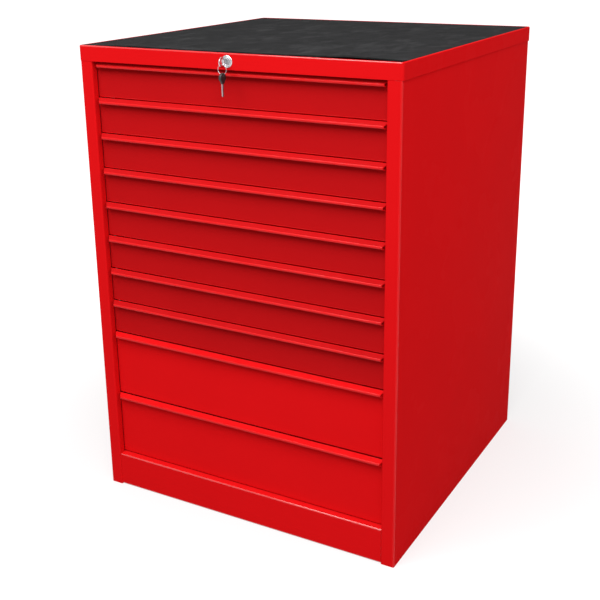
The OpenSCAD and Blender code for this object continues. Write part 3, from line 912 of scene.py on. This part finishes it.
class CABINET_OT_fronts(bpy.types.Operator):
    """Fold the drawer fronts with their sloping lip handles, mitre the lips and close the ends"""
    bl_idname = "cabinet.fronts"
    bl_label = "Drawer fronts"

    def execute(self, context):
        bend = context.scene.cabinet_looks.fold_radius
        t = FRONT_SHEET / 2
        for i in DRAWERS:
            low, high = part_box(f"drawer_{i}_front")
            face = high.y - FRONT_EDGE - t
            lip = face - LIP_OUT
            top, foot = high.z + FRONT_LAP, low.z - FRONT_LAP
            corner = top - t - bend + bend * math.tan((math.pi / 2 + LIP_SLOPE) / 2)
            hem = top - LIP_DROP + t
            path = [(face + FRONT_EDGE, foot + t), (face, foot + t), (face, corner),
                    (lip, corner - (face - lip) * math.tan(LIP_SLOPE)), (lip, hem), (lip + LIP_HEM, hem)]
            left, right = low.x - SIDE_LAP, high.x + SIDE_LAP
            piece = folded_sheet(f"front_{i}", left, right, path, FRONT_SHEET, bend)
            bm = bmesh.new()
            bm.from_mesh(piece.data)
            middle = (low.x + high.x) / 2
            for vert in bm.verts:
                inwards = -1 if vert.co.x > middle else 1
                vert.co.x += max(0.0, face - bend - vert.co.y) * LIP_MITRE * inwards
            for end in bm.faces:
                if abs(end.normal.x) > MITRED_END and end.calc_center_median().y < face - bend:
                    end.material_index = 1
            for x in (left, right - FRONT_SHEET):
                slab(bm, (x, face, low.z + t), (x + FRONT_SHEET, high.y, high.z - LIP_DROP))
            bm.to_mesh(piece.data)
            bm.free()
            settle(piece, f"drawer_{i}", "red_paint", f"drawer_{i}_front", rubbed="red_lips")
            # low fronts take the darkened coat, painted shade for the shade under the lips; the deep ones keep
            # the plain paint
            if high.z - low.z < LOW_FRONT:
                piece.data.materials[0] = finish("red_fronts")
        return {"FINISHED"}


class CABINET_OT_screws(bpy.types.Operator):
    """Set the cross-recess screws that hold the back panel"""
    bl_idname = "cabinet.screws"
    bl_label = "Back panel screws"

    def execute(self, context):
        low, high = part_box("back_panel_screws")
        radius = SCREW_HEAD / 2
        seat = high.y - SCREW_RISE
        shank, length = SCREW_SHANK
        outline = [(shank, seat - length), (shank, seat)]
        outline += [(radius * share, seat + rise) for share, rise in SCREW_DOME]
        rings = [circle(*spot, SCREW_SIDES, first=-1) for spot in outline]
        cross = [complex(u, v) / 1000 * 1j ** quarter for quarter in range(4) for u, v in RECESS]
        for share, y in ((1, high.y - RECESS_MOUTH), (1, high.y - RECESS_DEPTH),
                         (RECESS_FLOOR[0], seat + RECESS_FLOOR[1])):
            rings.append([(point.real * share, y, point.imag * share) for point in cross])
        bm = bmesh.new()
        loft(bm, rings)
        screw = mesh_from("screw", bm, smooth=math.radians(40))
        pitch = (high.z - low.z - SCREW_HEAD) / (SCREW_ROWS - 1)
        spots = bpy.data.meshes.new("screw_spots")
        spots.from_pydata([(sign * (high.x - radius), 0, low.z + radius + pitch * k)
                           for sign in (-1, 1) for k in range(SCREW_ROWS)], [], [])
        piece = grown("screws", spots, screw_rows_tree(), Screw=screw, Turn=1.5, Seed=7, Finish=finish("zinc"))
        bpy.data.objects.remove(screw)
        settle(piece, "cabinet", "zinc", "back_panel_screws")
        return {"FINISHED"}


# ---- operators: lock and keys
class CABINET_OT_lock(bpy.types.Operator):
    """Turn the lock's collar and barrel, and the plug with its keyway"""
    bl_idname = "cabinet.lock"
    bl_label = "Lock"

    def execute(self, context):
        low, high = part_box("lock_housing")
        centre, rim = (low + high) / 2, (high.x - low.x) / 2
        front, back = low.y, high.y
        near, far = (front + depth for depth in COLLAR_EDGE)
        section = mm(COLLAR, v=front) + [(rim, near), (rim, far), (BARREL, far)]
        for k in range(THREAD_TURNS):
            start = front + THREAD_START + k * THREAD_PITCH
            section += [(BARREL, start), (THREAD_ROOT, start + THREAD_PITCH / 2)]
        section += [(BARREL, back - BROKEN), (THREAD_ROOT, back), (COLLAR_BORE, back)]
        bm = bmesh.new()
        turned(bm, section, centre, steps=72)
        settle(mesh_from("lock_collar", bm, smooth=math.radians(50)), "cabinet", "chrome", "lock_housing")

        low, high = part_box("lock_plug")
        radius, step, back = (high.x - low.x) / 2, low.y + PLUG_STEP, high.y
        inside = radius - PLUG_SOFT
        outlines = [disc((0, 0), inside, corners=64), mm(KEYWAY)]
        face = plate("plug_face", outlines, PLUG_FACE, soft=PLUG_SOFT,
                     put=lambda u, v, w: (centre.x + u, low.y + PLUG_FACE / 2 + w, centre.z + v))
        bm = bmesh.new()
        bm.from_mesh(face.data)
        bpy.data.objects.remove(face)
        turned(bm, [(PLUG_CORE, step), (radius, step), (radius, back - PLUG_SOFT), (inside, back),
                    (PLUG_CORE, back)], centre, steps=48)
        settle(mesh_from("lock_plug_fine", bm), "lock_core", "chrome", "lock_plug")
        return {"FINISHED"}


class CABINET_OT_keys(bpy.types.Operator):
    """Cut the key in the lock, wind the split ring and make the spare key"""
    bl_idname = "cabinet.keys"
    bl_label = "Keys"

    def execute(self, context):
        low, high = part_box("key")
        bow = (high.z - low.z) / 2
        mid_z, mid_y = (high.z + low.z) / 2, low.y + bow
        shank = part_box("lock_housing")[0].y - KEY_GAP - mid_y
        outline = (arc((0, 0), bow, start=28, end=332, steps=40) + mm(KEY_CUTS, shank)
                   + mm(KEY_TIP, high.y - mid_y) + mm(KEY_BACK, shank))
        hole = disc((0, 0), KEY_HOLE, corners=48)
        key = plate("key_cut", [outline, hole], high.x - low.x, soft=0.0003,
                    put=lambda u, v, w: (w, mid_y + u, mid_z + v))
        settle(key, "lock_core", "chrome", "key")

        low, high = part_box("key_ring")
        centre = (low + high) / 2
        wire = (high.y - low.y) / 4
        reach = (high.x - low.x) / 2 - 2 * wire
        line = []
        for k in range(RING_TURNS * RING_STEPS + 1):
            a = 2 * math.pi * k / RING_STEPS + RING_START
            aside = wire * math.tanh((k / RING_STEPS - RING_TURNS / 2) * RING_CROSSING)
            line.append((centre.x + reach * math.cos(a), centre.y + aside, centre.z + reach * math.sin(a)))
        settle(wound("split_ring", line, wire * RING_WIRE), "key_ring", "chrome", "key_ring")

        low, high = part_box("spare_key_head")
        foot, height = low.z, high.z - low.z
        mid_y, r = (low.y + high.y) / 2, (high.y - low.y) / 2
        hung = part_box("key_ring")[0].z - SPARE_GAP

        def hang(u, v, w):
            """Places a point of the spare key, drawn in towards its hole."""
            return w, mid_y + u * SPARE_SIZE, hung + (foot + v - hung) * SPARE_SIZE

        head = arc((0, height - r), r, start=-24, end=204, steps=38) + mm(SPARE_FOOT)
        hole = disc((0, hung - foot), SPARE_HOLE, corners=24)
        settle(plate("spare_head", [head, hole], high.x - low.x, soft=0.0011, put=hang),
               "spare_key", "black_plastic", "spare_key_head")

        low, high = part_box("spare_key_blade")
        foot = low.z
        half, top = (high.y - low.y) / 2, high.z - low.z
        outline = [(-half, top)] + [(half * share, h / 1000) for share, h in SPARE_CUTS] + [(half, top)]
        piece = plate("spare_blade", [outline], high.x - low.x, soft=0.00015, put=hang)
        settle(piece, "spare_key", "chrome", "spare_key_blade")
        # the blade is dull next to the polished lock
        piece.data.materials[0] = finish("steel")
        return {"FINISHED"}


# ---- operator: stage
def point(holder, spot, ahead, roll=0):
    """Puts a lamp or camera at a spot, looking ahead."""
    holder.location = spot
    holder.rotation_mode = "QUATERNION"
    holder.rotation_quaternion = ahead.to_track_quat("-Z", "Y") @ Quaternion((0, 0, 1), roll)


class CABINET_OT_stage(bpy.types.Operator):
    """Make the floor, the lamps, the world and the camera"""
    bl_idname = "cabinet.stage"
    bl_label = "Stage"

    def execute(self, context):
        floor = placed("Floor", bpy.data.meshes.new("Floor"))
        bm = bmesh.new()
        bmesh.ops.create_grid(bm, x_segments=1, y_segments=1, size=FLOOR_SIZE)
        bm.to_mesh(floor.data)
        bm.free()
        tree, shader = material("Studio floor")
        place = add(tree, "ShaderNodeTexCoord").outputs["Object"]
        away = add(tree, "ShaderNodeVectorMath", {0: place}, operation="LENGTH").outputs["Value"]
        rise = remap(tree, away, *FLOOR_FADE, low=FLOOR_DIM, interpolation_type="SMOOTHSTEP")
        fill(tree, shader, {"Base Color": (FLOOR_GREY, FLOOR_GREY, FLOOR_GREY, 1), "Roughness": 1.0,
                            "Specular IOR Level": 0.0, "Emission Color": (1, 1, 1, 1),
                            "Emission Strength": maths(tree, "MULTIPLY", seen_white(tree), rise)})
        floor.data.materials.append(bpy.data.materials["Studio floor"])

        world = bpy.data.worlds.new("Studio")
        context.scene.world = world
        world.use_nodes = True
        tree = world.node_tree
        level = remap(tree, seen_white(tree), 0, 1, low=SKY_DIM)
        fill(tree, tree.nodes["Background"], {"Color": (1, 1, 1, 1), "Strength": level})

        for name, spot, aim, size, watts in LAMPS:
            lamp = bpy.data.lights.new(name, "AREA")
            lamp.shape = "RECTANGLE"
            lamp.size, lamp.size_y = size
            lamp.energy = watts
            point(placed(name, lamp), spot, Vector(aim) - Vector(spot))

        yaw, pitch, roll = (math.radians(turn) for turn in CAMERA_TURNS)
        ahead = Vector((-math.sin(yaw) * math.cos(pitch), math.cos(yaw) * math.cos(pitch), -math.sin(pitch)))
        camera = placed("Camera", bpy.data.cameras.new("Camera"))
        camera.data.sensor_width = 36
        camera.data.lens = CAMERA_LENS
        camera.data.shift_y = CAMERA_SHIFT
        point(camera, CAMERA_PLACE, ahead, roll)
        context.scene.camera = camera
        context.scene.view_settings.view_transform = "Standard"
        return {"FINISHED"}


class CABINET_PT_panel(bpy.types.Panel):
    """The cabinet's pieces, in the order in which they are made"""
    bl_label = "Workshop drawer cabinet"
    bl_idname = "CABINET_PT_panel"
    bl_space_type = "VIEW_3D"
    bl_region_type = "UI"
    bl_category = "Cabinet"

    def draw(self, context):
        looks = context.scene.cabinet_looks
        for field in CabinetLooks.__annotations__:
            self.layout.prop(looks, field)
        for step in STEPS:
            self.layout.operator(step.bl_idname)


STEPS = (CABINET_OT_finishes, CABINET_OT_cap, CABINET_OT_mat, CABINET_OT_sides, CABINET_OT_plinth,
         CABINET_OT_fronts, CABINET_OT_screws, CABINET_OT_lock, CABINET_OT_keys, CABINET_OT_stage)
CLASSES = (CabinetLooks, *STEPS, CABINET_PT_panel)


def register():
    for item in CLASSES:
        bpy.utils.register_class(item)
    bpy.types.Scene.cabinet_looks = bpy.props.PointerProperty(type=CabinetLooks)


def unregister():
    del bpy.types.Scene.cabinet_looks
    for item in reversed(CLASSES):
        bpy.utils.unregister_class(item)


def main():
    register()
    for step in STEPS:
        family, name = step.bl_idname.split(".")
        getattr(getattr(bpy.ops, family), name)()


if __name__ == "__main__":
    main()
